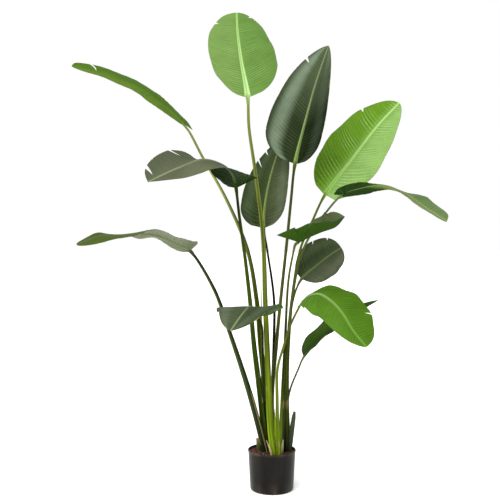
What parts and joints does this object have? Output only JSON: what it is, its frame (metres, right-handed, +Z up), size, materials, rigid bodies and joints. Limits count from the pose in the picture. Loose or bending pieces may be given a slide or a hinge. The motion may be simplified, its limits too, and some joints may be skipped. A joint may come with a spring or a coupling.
{
  "type": "potted bird of paradise",
  "caption": "Tall potted bird of paradise: long-stalked paddle leaves, rolled young shoots and dry sheath strips, standing in soil in a round black nursery pot.",
  "frame": {"origin": "middle of the pot's flat underside", "axes": "+Z up along the pot's axis, -Y towards the side that the picture shows, +X to its right"},
  "size_m": [1.4763, 0.653, 1.9839],
  "materials": {
    "leaf_fresh": "satin",
    "leaf_mid": "satin",
    "leaf_deep": "satin",
    "shoot_green": "satin",
    "dry_sheath": "matte",
    "pot_plastic": "satin",
    "soil": "matte"
  },
  "bodies": {
    "root": {"leaf_top": "leaf_fresh", "leaf_tall_right": "leaf_deep", "leaf_bright_right": "leaf_fresh", "leaf_far_left": "leaf_mid", "leaf_folded_left": "leaf_deep", "leaf_low_left": "leaf_mid", "leaf_centre_back": "leaf_deep", "leaf_arching_right": "leaf_deep", "leaf_small_right": "leaf_deep", "leaf_round_right": "leaf_deep", "leaf_left_front": "leaf_deep", "leaf_front_right": "leaf_fresh", "leaf_low_right": "leaf_deep", "spear_leaf": "shoot_green", "new_spear": "leaf_fresh", "young_shoot": "leaf_deep", "cut_stalk": "shoot_green", "dry_sheath_left": "dry_sheath", "dry_sheath_right": "dry_sheath", "pot": "pot_plastic", "soil": "soil"}
  },
  "joints": []
}
